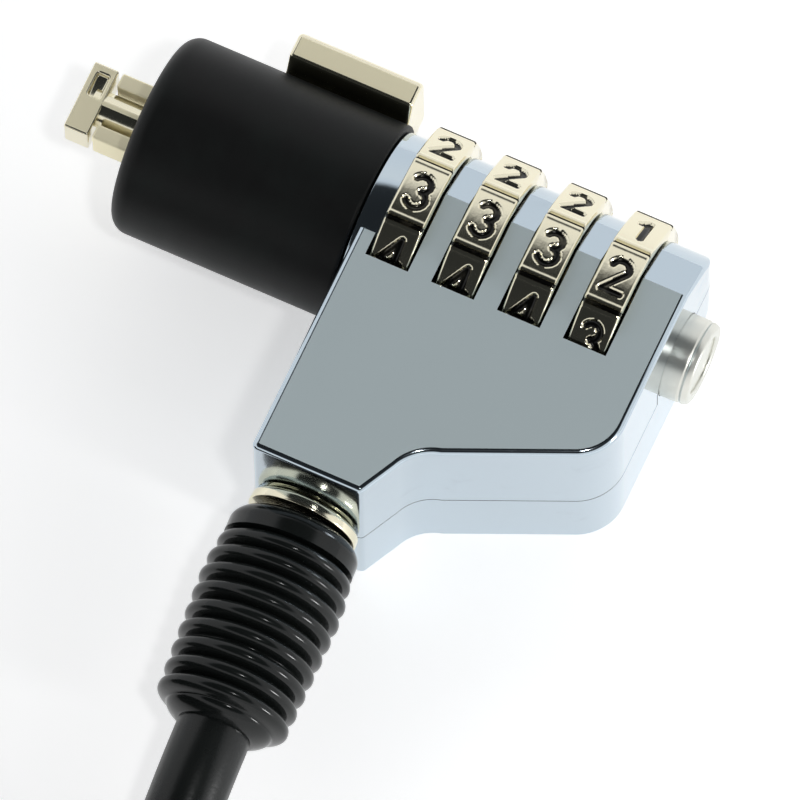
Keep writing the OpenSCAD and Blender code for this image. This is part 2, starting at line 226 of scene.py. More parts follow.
def plated(name, colour, dull_colour, roughness, grain, wear=0.12):
    """Metal or plating: faint cloudiness, hairline scratches, and duller worn patches."""
    skin = Finish(name, colour, metallic=1.0)
    cloud = skin.noise(90, 4, 0.6)
    lines = skin.noise(60, 2, 0.5, skin.mapped(scale=(60, 6, 6), turn=(0.2, 0.4, 0.7)))
    worn = skin.ramp(skin.noise(240, 5, 0.65), 0.58, 0.8)
    skin.put("Base Color", skin.blend(worn * 0.6, colour, dull_colour))
    skin.put("Roughness", roughness + cloud * wear * 0.5 + worn * wear)
    skin.bump(lines * 0.4 + skin.noise(1800, 2) * 0.6, grain)
    return skin.material


def satin_black(name):
    """Black barrel sleeve: fine turned rings and a slightly greener sheen in places."""
    skin = Finish(name, (0.006, 0.0062, 0.0062), roughness=0.42, specular_ior_level=0.16)
    rings = skin.noise(900, 2, 0.5, skin.mapped(scale=(1, 0.02, 0.02)))
    cloud = skin.noise(110, 4, 0.6)
    patches = skin.ramp(cloud, 0.35, 0.7)
    skin.put("Base Color", skin.blend(patches, (0.0046, 0.0047, 0.0048), (0.0065, 0.0085, 0.008)))
    skin.put("Roughness", 0.36 + cloud * 0.14 + rings * 0.06)
    skin.bump(rings + skin.noise(5200, 2) * 0.5, 0.000006)
    return skin.material


def black_vinyl(name, roughness, pores, shine):
    """Moulded or drawn black plastic: soft gloss, small waves, fine pores."""
    skin = Finish(name, (0.008, 0.009, 0.009), roughness=roughness, specular_ior_level=shine)
    waves = skin.noise(260, 3, 0.55)
    dots = skin.noise(4200, 2, 0.5)
    skin.put("Base Color", skin.blend(waves, (0.005, 0.006, 0.006), (0.011, 0.013, 0.012)))
    skin.put("Roughness", roughness - 0.04 + waves * 0.1)
    skin.bump(waves * 1.2 + dots * pores, 0.00003, 0.6)
    return skin.material


def painted_groove_shade(name):
    """Painted shade: dark, still shiny metal at the bottom of the cut digits and bars, where only
    dark reflections fall.
    """
    skin = Finish(name, (0.02, 0.019, 0.016), metallic=0.75, roughness=0.16)
    spots = skin.ramp(skin.noise(700, 4, 0.6), 0.5, 0.75)
    skin.put("Base Color", skin.blend(spots, (0.012, 0.012, 0.011), (0.09, 0.083, 0.062)))
    skin.put("Roughness", 0.12 + skin.noise(900, 2) * 0.12)
    skin.bump(skin.noise(2600, 3), 0.00001)
    return skin.material


def woven(name):
    """Hook-and-loop strap: a plain weave of fine yarns with fuzz between them."""
    skin = Finish(name, (0.012, 0.012, 0.013), roughness=0.9, sheen_weight=0.35)
    squared = skin.mapped(turn=(0, 0, math.radians(-45)))
    yarns = []
    for direction, vector in (("X", squared), ("Y", squared), ("Z", skin.place)):
        yarns.append(skin.node("ShaderNodeTexWave", {"bands_direction": direction}, {
            "Vector": vector, "Scale": 420.0, "Distortion": 0.6}))
    across, along, rise = yarns
    fuzz = skin.noise(2600, 4, 0.7)
    yarn = across * along * 0.6 + rise * 0.4
    skin.put("Base Color", skin.blend(yarn, (0.006, 0.006, 0.007), (0.03, 0.03, 0.032)))
    skin.put("Roughness", 0.82 + fuzz * 0.16)
    skin.bump(yarn + fuzz * 0.7, 0.00012)
    return skin.material


# The finishes. Those of plated() say: colour, worn colour, roughness, height of grain, wear.
CHROME = plated("bright_chrome", (0.52, 0.60, 0.66), (0.45, 0.52, 0.58), 0.07, 0.0000015)
FACE = plated("satin_face", (0.69, 0.79, 0.81), (0.64, 0.74, 0.77), 0.48, 0.000003, 0.05)
# Painted shade for the cut digits and bars: a dark, glossy metal finish
GROOVE_SHADE = painted_groove_shade("digit_painted_shade")
NICKEL = plated("nickel", (0.80, 0.75, 0.575), (0.66, 0.61, 0.45), 0.12, 0.00001, 0.10)
NICKEL_SOFT = plated("soft_nickel", (0.98, 0.92, 0.69), (0.90, 0.83, 0.60), 0.58, 0.00002)
NICKEL_TURNED = plated("turned_nickel", (0.72, 0.72, 0.66), (0.60, 0.59, 0.52), 0.30, 0.000012)
STEEL = plated("turned_steel", (0.56, 0.56, 0.55), (0.42, 0.42, 0.42), 0.24, 0.000004)
BRASS = plated("code_brass", (0.72, 0.56, 0.28), (0.5, 0.38, 0.2), 0.26, 0.000004)
SPRING = plated("spring_wire", (0.5, 0.51, 0.53), (0.36, 0.36, 0.37), 0.2, 0.000003)
CRIMP = plated("crimp_alloy", (0.72, 0.73, 0.74), (0.6, 0.6, 0.6), 0.36, 0.00001, 0.2)
SLEEVE = satin_black("satin_sleeve")
BOOT = black_vinyl("boot_rubber", 0.15, 0.1, 0.3)
VINYL = black_vinyl("cable_vinyl", 0.27, 0.4, 0.3)
STRAP = woven("strap_weave")
SEAM = black_vinyl("seam_thread", 0.5, 0.3, 0.3)

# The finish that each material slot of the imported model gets
SLOT_FINISH = {
    "zinc_chrome": CHROME, "nickel": NICKEL, "steel_inner": STEEL, "brass_inner": BRASS,
    "black_sleeve": SLEEVE, "black_vinyl": VINYL, "spring_steel": SPRING,
    "tie_fabric": STRAP, "crimp_metal": CRIMP}


# ---------------------------------------------------------------- helpers for meshes

def at(points):
    """Points in millimetres round the barrel axis, as metres in the part's frame."""
    return (np.asarray(points, float) + AXIS) * MM


def piece(name, points, faces, finish, body, replaced=(), sharp=35):
    """A new closed piece of the object, smooth except over sharp edges."""
    mesh = bpy.data.meshes.new(name)
    mesh.from_pydata([tuple(map(float, p)) for p in points], [], faces)
    return finished(name, mesh, finish, body, replaced, sharp)


def finished(name, mesh, finish, body, replaced=(), sharp=35):
    """A piece of the object from a mesh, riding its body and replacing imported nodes."""
    work = bmesh.new()
    work.from_mesh(mesh)
    bmesh.ops.remove_doubles(work, verts=work.verts, dist=1e-7)
    bmesh.ops.recalc_face_normals(work, faces=work.faces)
    for face in work.faces:
        face.smooth = True
    for edge in work.edges:
        if len(edge.link_faces) == 2:
            edge.smooth = edge.calc_face_angle(0) < math.radians(sharp)
    work.to_mesh(mesh)
    work.free()
    finishes = finish if isinstance(finish, (list, tuple)) else [finish]
    mesh.materials.clear()
    for one in finishes:
        mesh.materials.append(one)
    made = bpy.data.objects.new(name, mesh)
    bpy.context.scene.collection.objects.link(made)
    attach(made, body)
    if replaced:
        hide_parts(*replaced)
    return made


def lathe(profile, sides, round_cable=False):
    """A closed profile of (radius, distance) turned round the barrel axis or the cable axis."""
    angles = np.linspace(0, 2 * math.pi, sides, endpoint=False)
    points = []
    for radius, along in profile:
        for a in angles:
            if round_cable:
                points.append(
                    (CABLE_X + radius * math.cos(a), -along, CABLE_Z + radius * math.sin(a)))
            else:
                points.append((along, radius * math.cos(a), radius * math.sin(a)))
    faces = []
    rows = len(profile)
    for i in range(rows):
        j = (i + 1) % rows
        if profile[i][0] == 0 and profile[j][0] == 0:
            continue
        for k in range(sides):
            n = (k + 1) % sides
            faces.append((i * sides + k, i * sides + n, j * sides + n, j * sides + k))
    return at(points), faces


def rounded(profile, radius, steps=5):
    """The same closed profile with every corner turned into a short arc."""
    made = []
    count = len(profile)
    for i in range(count):
        here = np.array(profile[i], float)
        back = np.array(profile[i - 1], float) - here
        ahead = np.array(profile[(i + 1) % count], float) - here
        cut = min(radius, np.linalg.norm(back) * 0.45, np.linalg.norm(ahead) * 0.45)
        if here[0] == 0 or cut < 1e-4:
            made.append(tuple(here))
            continue
        a = here + back / np.linalg.norm(back) * cut
        b = here + ahead / np.linalg.norm(ahead) * cut
        for s in np.linspace(0, 1, steps):
            made.append(tuple((1 - s) ** 2 * a + 2 * s * (1 - s) * here + s * s * b))
    return made


def solid(name, points, faces):
    """A loose mesh object to work on, in metres in the part's frame."""
    mesh = bpy.data.meshes.new(name)
    mesh.from_pydata([tuple(map(float, p)) for p in points], [], faces)
    work = bmesh.new()
    work.from_mesh(mesh)
    bmesh.ops.remove_doubles(work, verts=work.verts, dist=1e-7)
    bmesh.ops.recalc_face_normals(work, faces=work.faces)
    work.to_mesh(mesh)
    work.free()
    made = bpy.data.objects.new(name, mesh)
    bpy.context.scene.collection.objects.link(made)
    return made


def prism(name, outline, low, high, along="z"):
    """A plain prism: an outline of (x, y) pushed along z, or one of (y, z) pushed along x."""
    count = len(outline)
    if along == "z":
        points = [(x, y, h) for h in (low, high) for x, y in outline]
    else:
        points = [(h, y, z) for h in (low, high) for y, z in outline]
    faces = [tuple(range(count)), tuple(range(count, 2 * count))]
    for i in range(count):
        j = (i + 1) % count
        faces.append((i, j, count + j, count + i))
    return solid(name, at(points), faces)


def block(name, low, high):
    """A box between two corners."""
    outline = [(low[0], low[1]), (high[0], low[1]), (high[0], high[1]), (low[0], high[1])]
    return prism(name, outline, low[2], high[2])


def rod(name, x0, x1, radius, sides=128):
    """A cylinder on the barrel axis."""
    angles = np.linspace(0, 2 * math.pi, sides, endpoint=False)
    outline = [(radius * math.cos(a), radius * math.sin(a)) for a in angles]
    return prism(name, outline, x0, x1, along="x")


def baked(thing):
    """The mesh of an object with its modifiers worked in, which are then removed."""
    bpy.context.view_layer.update()
    seen = thing.evaluated_get(bpy.context.evaluated_depsgraph_get())
    mesh = bpy.data.meshes.new_from_object(seen)
    old = thing.data
    thing.modifiers.clear()
    thing.data = mesh
    if old.users == 0:
        bpy.data.meshes.remove(old)
    return mesh


def carve(thing, cutter, operation="DIFFERENCE"):
    """Cuts one solid with another and throws the cutter away."""
    step = thing.modifiers.new("cut", "BOOLEAN")
    step.operation = operation
    step.solver = "EXACT"
    step.object = cutter
    baked(thing)
    bpy.data.objects.remove(cutter, do_unlink=True)


def eased(thing, width, segments, limit):
    """Rounds the edges that are sharper than the limit, in degrees."""
    step = thing.modifiers.new("ease", "BEVEL")
    step.width = width * MM
    step.segments = segments
    step.limit_method = "ANGLE"
    step.angle_limit = math.radians(limit)
    step.use_clamp_overlap = True
    step.miter_outer = "MITER_ARC"
    baked(thing)


def weighted(thing):
    """Normals that keep wide flat faces flat beside their rounded edges."""
    step = thing.modifiers.new("flatten", "WEIGHTED_NORMAL")
    step.keep_sharp = True
    step.weight = 60
    baked(thing)


def arc(centre, radius, first, last, count):
    """Points along an arc, between two angles in degrees."""
    angles = [math.radians(first + (last - first) * i / count) for i in range(count + 1)]
    return [(centre[0] + radius * math.cos(a), centre[1] + radius * math.sin(a)) for a in angles]


# ---------------------------------------------------------------- camera and studio

def camera():
    """A long lens, well back, that looks down on the front face from the lower right."""
    lens = bpy.data.cameras.new("camera")
    lens.sensor_width = 36
    lens.lens = 841.5
    lens.clip_start = 0.1
    lens.clip_end = 10
    eye = bpy.data.objects.new("camera", lens)
    eye.matrix_world = Matrix((
        (0.9085, -0.38828, 0.15448, 0.2099),
        (0.41778, 0.85209, -0.31529, -0.42161),
        (-0.00921, 0.35098, 0.93634, 1.24593),
        (0, 0, 0, 1)))
    bpy.context.scene.collection.objects.link(eye)
    bpy.context.scene.camera = eye


def softbox(name, place, aim, size, power):
    """A rectangular area light at a place, turned to a point."""
    lamp = bpy.data.lights.new(name, "AREA")
    lamp.shape = "RECTANGLE"
    lamp.size = size[0]
    lamp.size_y = size[1]
    lamp.energy = power
    made = bpy.data.objects.new(name, lamp)
    made.location = place
    made.rotation_euler = (Vector(aim) - Vector(place)).to_track_quat("-Z", "Y").to_euler()
    bpy.context.scene.collection.objects.link(made)


def studio():
    """Bright tent with a dark opening above the object, two small softboxes, a pale floor."""
    world = bpy.data.worlds.new("tent")
    bpy.context.scene.world = world
    world.use_nodes = True
    sky = Graph(world.node_tree)
    way = sky.node("ShaderNodeTexCoord", out=0)
    opening = (0.08, -0.22, 0.972)
    facing = sky.node("ShaderNodeVectorMath", {"operation": "DOT_PRODUCT"}, {
        0: way, 1: opening}, out=1)
    tone = sky.node("ShaderNodeValToRGB", {"stops": [
        (0.0, (0.93, 0.95, 0.98, 1)), (0.56, (1.0, 1.0, 1.0, 1)), (0.66, (0.9, 0.92, 0.95, 1)),
        (0.73, (0.03, 0.033, 0.035, 1)), (1.0, (0.02, 0.022, 0.024, 1))]}, {"Fac": facing})
    ground = world.node_tree.nodes["Background"]
    world.node_tree.links.new(tone.socket, ground.inputs["Color"])
    ground.inputs["Strength"].default_value = 1.0
    softbox("side_box", (0.75, -0.05, 0.17), (0.0, -0.03, 0.0), (0.10, 0.20), 2.2)
    softbox("high_box", (0.25, -0.22, 0.84), (0.0, -0.02, 0.0), (0.06, 0.06), 1.0)
    floor_mesh = bpy.data.meshes.new("floor")
    half = 1.5
    corners = [(-half, -half, 0), (half, -half, 0), (half, half, 0), (-half, half, 0)]
    floor_mesh.from_pydata(corners, [], [(0, 1, 2, 3)])
    paper = Finish("studio_paper", (0.93, 0.93, 0.93), roughness=0.9)
    paper.put("Base Color", paper.blend(paper.noise(30), (0.93, 0.93, 0.93), (0.95, 0.95, 0.95)))
    paper.put("Emission Color", (1, 1, 1, 1))
    paper.put("Emission Strength", 0.48)
    floor_mesh.materials.append(paper.material)
    floor = bpy.data.objects.new("floor", floor_mesh)
    bpy.context.scene.collection.objects.link(floor)
    bpy.context.scene.view_settings.view_transform = "Standard"


camera()
studio()


# ---------------------------------------------------------------- the cable

def coil_path():
    """Centreline of the wound cable: three layers of three turns, then the rise to the eye."""
    # Stations of angle, radius and height, with a smooth step between each two
    stations = [
        (180, 33.5, 2.75), (420, 33.5, 2.75), (480, 28.0, 2.75), (780, 28.0, 2.75),
        (840, 22.5, 2.75), (1080, 22.5, 2.75), (1140, 22.5, 8.25), (1380, 22.5, 8.25),
        (1440, 28.0, 8.25), (1740, 28.0, 8.25), (1800, 33.5, 8.25), (2040, 33.5, 8.25),
        (2100, 33.5, 13.75), (2340, 33.5, 13.75), (2400, 28.0, 13.75), (2700, 28.0, 13.75),
        (2760, 22.5, 13.75), (3015, 22.5, 13.75), (3085, 22.5, 19.6), (3166, 29.6, EYE_Z)]
    made = []
    for angle in range(195, 3160, 15):
        for (a0, r0, z0), (a1, r1, z1) in zip(stations, stations[1:]):
            if a0 <= angle <= a1:
                t = (angle - a0) / (a1 - a0)
                t = t * t * (3 - 2 * t)
                radius = r0 + (r1 - r0) * t
                height = z0 + (z1 - z0) * t
        off = (angle + TIE_DEG) % 360 - 180
        # The turns lie on the strap where it passes under them
        if height < 16:
            height += 0.85 * math.exp(-(off / 16) ** 2)
        a = math.radians(angle)
        made.append((COIL_X - radius * math.cos(a), COIL_Y + radius * math.sin(a), height))
    return made


# From the ferrule to the coil, in the part's frame
RUN_ROUTE = [
    (3.31, -16.85, 8.3), (3.5, -20.3, 8.3), (3.78, -25.28, 8.3), (4.05, -30.2, 8.3),
    (4.24, -33.6, 8.3), (4.4, -36.6, 8.05), (4.65, -41, 7.2), (4.88, -46, 6), (5.08, -51, 4.8),
    (5.21, -56, 3.8), (5.28, -61, 3.15), (5.3, -66, 2.85), (5.3, -71, 2.78), (5.3, -76, 2.76)]
# The rise to the eye and the eye itself, seen from the coil's middle
EYE_FEED = [
    (-8, -28.5), (-15.5, -25.5), (-21.5, -19.5), (-25, -12.5), (-25.5, -6.5), (-25.5, 0)]
EYE_ROUTE = [
    (-25.5, 6.5), (-23.5, 14), (-17.5, 20), (-9, 23), (1, 22.5), (10, 18.5), (15.5, 11),
    (17, 2.5), (15.5, -6.5), (10.5, -13.5), (2.5, -18.5), (-6, -20), (-13.5, -17.5),
    (-18.5, -12), (-20, -6.5), (-20, 0), (-20, 5)]


def cable():
    """The whole cable as one curve: run, coil and eye."""
    route = list(RUN_ROUTE) + coil_path()
    route += [(COIL_X + x, COIL_Y + y, EYE_Z) for x, y in EYE_FEED + EYE_ROUTE]
    curve = bpy.data.curves.new("security_cable", "CURVE")
    curve.dimensions = "3D"
    curve.bevel_depth = CABLE_D / 2 * MM
    curve.bevel_resolution = 7
    curve.resolution_u = 3
    curve.use_fill_caps = True
    spline = curve.splines.new("BEZIER")
    spline.bezier_points.add(len(route) - 1)
    for knot, point in zip(spline.bezier_points, route):
        knot.co = [c * MM for c in point]
        knot.handle_left_type = "AUTO"
        knot.handle_right_type = "AUTO"
    made = bpy.data.objects.new("security_cable", curve)
    bpy.context.scene.collection.objects.link(made)
    curve.materials.append(VINYL)
    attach(made, "root")
    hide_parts("cable_run", "cable_coil", "cable_eye")
    return made


CABLE = cable()


# ---------------------------------------------------------------- housing

def inset(outline, depth):
    """A closed outline moved inward by a depth, with mitred corners."""
    made = []
    count = len(outline)
    for i in range(count):
        back, here, ahead = (np.array(outline[k % count]) for k in (i - 1, i, i + 1))
        one = (here - back) / np.linalg.norm(here - back)
        two = (ahead - here) / np.linalg.norm(ahead - here)
        left = np.array([-one[1], one[0]]) + np.array([-two[1], two[0]])
        left = left / (1 + float(one @ two))
        made.append(tuple(here + left * depth))
    return made


def soft_prism(name, outline, low, high, ease, along):
    """A prism of an outline that runs anticlockwise, with rounded edges at both ends."""
    levels = []
    for t in np.linspace(math.pi / 2, 0, 7):
        levels.append((low + ease * (1 - math.sin(t)), ease * (1 - math.cos(t))))
    levels += [(low + high - at_level, deep) for at_level, deep in levels[::-1]]
    count = len(outline)
    points = []
    for level, deep in levels:
        for a, b in inset(outline, deep):
            points.append((a, b, level) if along == "z" else (level, a, b))
    faces = [tuple(range(count)), tuple(range(len(points) - count, len(points)))]
    for i in range(len(levels) - 1):
        for k in range(count):
            n = (k + 1) % count
            faces.append((i * count + k, i * count + n, (i + 1) * count + n, (i + 1) * count + k))
    return solid(name, at(points), faces)


def housing_block():
    """Front outline with rounded rims, cut to a side profile, with the rooms inside."""
    # Leg, waist, heel and top corners, in turn
    outline = arc((CORNER_R, CORNER_R - LEG_DROP), CORNER_R, 180, 270, 5)
    outline += arc((LEG_W - CORNER_R, CORNER_R - LEG_DROP), CORNER_R, 270, 338, 5)
    outline += arc((LEG_W + 4.6, -19.7), 3.6, 158, 104, 18)
    outline += arc((19.5, -8.9), 3.8, -64, 0, 20)
    outline += arc((PLATE_W - 2, TOP_R - 2), 2, 0, 90, 12)
    outline += arc((CORNER_R, TOP_R - CORNER_R), CORNER_R, 90, 180, 5)
    # The sloping facets run on past both faces, so that no two faces coincide
    profile = [(-30, -13.4), (-3.8, -13.4)]
    profile += arc((0, 0), TOP_R, -46.2, 47.2, 60)
    profile += [(-4.55, 11.3), (-30, 11.3)]
    housing = soft_prism("housing", outline, -BACK_H, FRONT_H, RIM_EASE, "z")
    carve(housing, soft_prism("side_profile", profile, -0.05, PLATE_W + 0.05, END_EASE, "x"),
          "INTERSECT")
    carve(housing, block("collar_room", (-1, -3, -11), (1.5, 12, 9)))
    carve(housing, rod("collar_seat", -1, 1.45, 7.12))
    for k in range(4):
        x0 = DIAL_X0 + k * DIAL_PITCH
        carve(housing, rod("dial_room", x0 - DIAL_GAP, x0 + DIAL_W + DIAL_GAP, DIAL_R + 0.3, 160))
    carve(housing, rod("axle_room", 1.3, 21.3, 3.02, 64))
    carve(housing, rod("button_room", 21.2, PLATE_W + 1, 3.2))
    outlet = [(0, 13.6), (3, 13.6), (3, 15), (4, 15), (4, 15.65), (3.45, 15.65),
              (3.45, LEG_DROP - 0.7), (3.9, LEG_DROP - 0.1), (3.9, LEG_DROP + 1), (0, LEG_DROP + 1)]
    points, faces = lathe(outlet, 96, round_cable=True)
    carve(housing, solid("outlet", points, faces))
    return housing


def clad(name, half, keep, node_name):
    """One half of the housing, with the satin finish on its flat front."""
    carve(half, keep, "INTERSECT")
    made = finished(name, half.data, [CHROME, FACE], "root", [node_name], 32)
    bpy.data.objects.remove(half, do_unlink=True)
    top = (FRONT_H + AXIS[2]) * MM
    for face in made.data.polygons:
        if face.normal.z > 0.999 and face.center.z > top - 2e-5:
            face.material_index = 1
    weighted(made)


def housing():
    """Both covers, which meet in a stepped seam, and the screw seats in the back one."""
    front_half = housing_block()
    back_half = bpy.data.objects.new("back_half", front_half.data.copy())
    bpy.context.scene.collection.objects.link(back_half)
    front = [(-40, -2), (-3.4, -2), (-3.4, 0), (20, 0), (20, 20), (-40, 20)]
    back = [(-40, -2.1), (-3.3, -2.1), (-3.3, -0.1), (20, -0.1), (20, -20), (-40, -20)]
    clad("front_cover", front_half, prism("front_room", front, -3, 30, along="x"), "front_shell")
    for x, y in SCREWS:
        seat = [(x + SCREW_SEAT_R * math.cos(a), y + SCREW_SEAT_R * math.sin(a))
                for a in np.linspace(0, 2 * math.pi, 48, endpoint=False)]
        carve(back_half, prism("screw_seat", seat, -BACK_H - 1, -BACK_H + SCREW_SEAT_DEEP))
    clad("back_cover", back_half, prism("back_room", back, -3, 30, along="x"), "back_shell")


# ---------------------------------------------------------------- barrel

def collar_and_core():
    """Chrome collar with the fixed core of the barrel, and the boss at its front end."""
    profile = rounded([
        (1.45, -17.0), (6.15, -17.0), (6.15, -0.4), (7.1, -0.4), (7.1, 1.4), (3.05, 1.4),
        (3.05, 0.4), (1.45, 0.4)], 0.12)
    points, faces = lathe(profile, 160)
    piece("collar", points, faces, CHROME, "root", ["barrel_core"])
    boss = rounded([(2.0, -17.6), (4.45, -17.6), (4.45, -16.8), (2.0, -16.8)], 0.1)
    points, faces = lathe(boss, 96)
    piece("nose_boss", points, faces, STEEL, "root")


def sleeve():
    """Turning cover of the barrel: a thin tube with a rolled front rim."""
    profile = [(4.66, SLEEVE_X0)]
    profile += arc((SLEEVE_R - SLEEVE_RIM_R, SLEEVE_X0 + SLEEVE_RIM_R), SLEEVE_RIM_R, 270, 360, 14)
    profile += [(SLEEVE_R, SLEEVE_X0 + SLEEVE_RIM_R + 0.12), (SLEEVE_R, SLEEVE_X1 - 0.3)]
    profile += arc((SLEEVE_R - 0.2, SLEEVE_X1 - 0.2), 0.2, 0, 90, 5)
    profile += [(6.25, SLEEVE_X1), (6.25, SLEEVE_X0 + 0.8), (4.56, SLEEVE_X0 + 0.8),
                (4.56, SLEEVE_X0 + 0.1)]
    points, faces = lathe(profile, 192)
    piece("turning_sleeve", points, faces, SLEEVE, "turn_sleeve",
          ["barrel_sleeve"], 40)


def grip():
    """Finger tab that stands on the sleeve, soft on its broad face."""
    x1 = SLEEVE_X1 - 0.5
    x0 = x1 - 9.6
    shape = [(5, -3.5), (9.9, -3.5), (10.3, -3.1), (10.3, 2.7), (9.9, 3.5), (8.05, 3.5),
             (7.35, 1.6), (5, 1.6)]
    tab = prism("tab", shape, x0, x1, along="x")
    eased(tab, 0.42, 6, 20)
    carve(tab, rod("tab_seat", -19, 1, SLEEVE_R + 0.02, 192))
    made = finished("finger_tab", tab.data, [NICKEL, NICKEL_SOFT], "turn_sleeve",
                    ["grip_tab"], 30)
    bpy.data.objects.remove(tab, do_unlink=True)
    for face in made.data.polygons:
        if face.normal.z > 0.995:
            face.material_index = 1
    weighted(made)


def nose():
    """T head, its neck, and the two fixed guides beside it."""
    head = block("head", (HEAD_TIP_X, -HEAD_HALF_W, -HEAD_HALF_T),
                 (HEAD_TIP_X + 1.9, HEAD_HALF_W, HEAD_HALF_T))
    carve(head, block("recess", (HEAD_TIP_X + 0.55, 0.2, 0.95), (HEAD_TIP_X + 1.45, 2.0, 3)))
    eased(head, 0.14, 3, 30)
    carve(head, rod("neck", HEAD_TIP_X + 1, -7, HEAD_HALF_T, 48), "UNION")
    made = finished("t_head", head.data, [NICKEL, NICKEL_SOFT], "turn_sleeve",
                    ["t_bar"], 30)
    for face in made.data.polygons:
        if face.normal.z > 0.995 and face.center.z > (AXIS[2] + 1.3) * MM:
            face.material_index = 1
    bpy.data.objects.remove(head, do_unlink=True)
    weighted(made)
    # The pair stands for one node, which the upper guide replaces
    for side, low, high in (("upper", 1.55, HEAD_HALF_W), ("lower", -HEAD_HALF_W, -1.55)):
        bar = block("bar", (HEAD_TIP_X + 2.2, low, -HEAD_HALF_T),
                    (SLEEVE_X0 + 0.2, high, HEAD_HALF_T))
        eased(bar, 0.16, 3, 30)
        named = ["nose_guides"] if side == "upper" else []
        made_bar = finished("guide_" + side, bar.data, NICKEL_SOFT, "root", named, 30)
        bpy.data.objects.remove(bar, do_unlink=True)
        weighted(made_bar)


# ---------------------------------------------------------------- dials

def stroke(digit):
    """Centre lines of one digit, in millimetres from the middle of its flat."""
    def bow(cx, cy, rx, ry, first, last, count=24):
        """Points along part of an ellipse."""
        angles = [math.radians(first + (last - first) * i / count) for i in range(count + 1)]
        return [(cx + rx * math.cos(a), cy + ry * math.sin(a)) for a in angles]
    six = [bow(0, -0.55, 0.68, 0.72, 0, 360), bow(0.55, -0.45, 1.23, 1.72, 180, 108)]
    lines = {
        0: [bow(0, 0, 0.66, 1.28, 0, 360, 40)],
        1: [[(-0.42, 0.78), (0.12, 1.28), (0.12, -1.28)]],
        2: [bow(0, 0.62, 0.66, 0.64, 165, -25) + [(-0.68, -1.25), (0.74, -1.25)]],
        3: [bow(-0.02, 0.62, 0.62, 0.62, 150, -75), bow(-0.02, -0.6, 0.7, 0.66, 78, -155)],
        4: [[(0.36, -1.28), (0.36, 1.28), (-0.74, -0.5), (0.74, -0.5)]],
        5: [[(0.6, 1.25), (-0.5, 1.25), (-0.58, 0.2)] + bow(-0.02, -0.45, 0.7, 0.82, 125, -150)],
        6: six,
        7: [[(-0.68, 1.25), (0.7, 1.25), (-0.2, -1.28)]],
        8: [bow(0, 0.62, 0.54, 0.6, 0, 360), bow(0, -0.6, 0.68, 0.66, 0, 360)],
        9: [[(-x, -y) for x, y in line] for line in six]}
    return lines[digit]


def nearest(x, y, lines):
    """Distance from every point of a grid to the nearest centre line."""
    best = np.full(x.shape, 1e3)
    for line in lines:
        for (ax, ay), (bx, by) in zip(line, line[1:]):
            dx, dy = bx - ax, by - ay
            span = max(dx * dx + dy * dy, 1e-12)
            t = np.clip(((x - ax) * dx + (y - ay) * dy) / span, 0, 1)
            best = np.minimum(best, np.hypot(x - ax - t * dx, y - ay - t * dy))
    return best


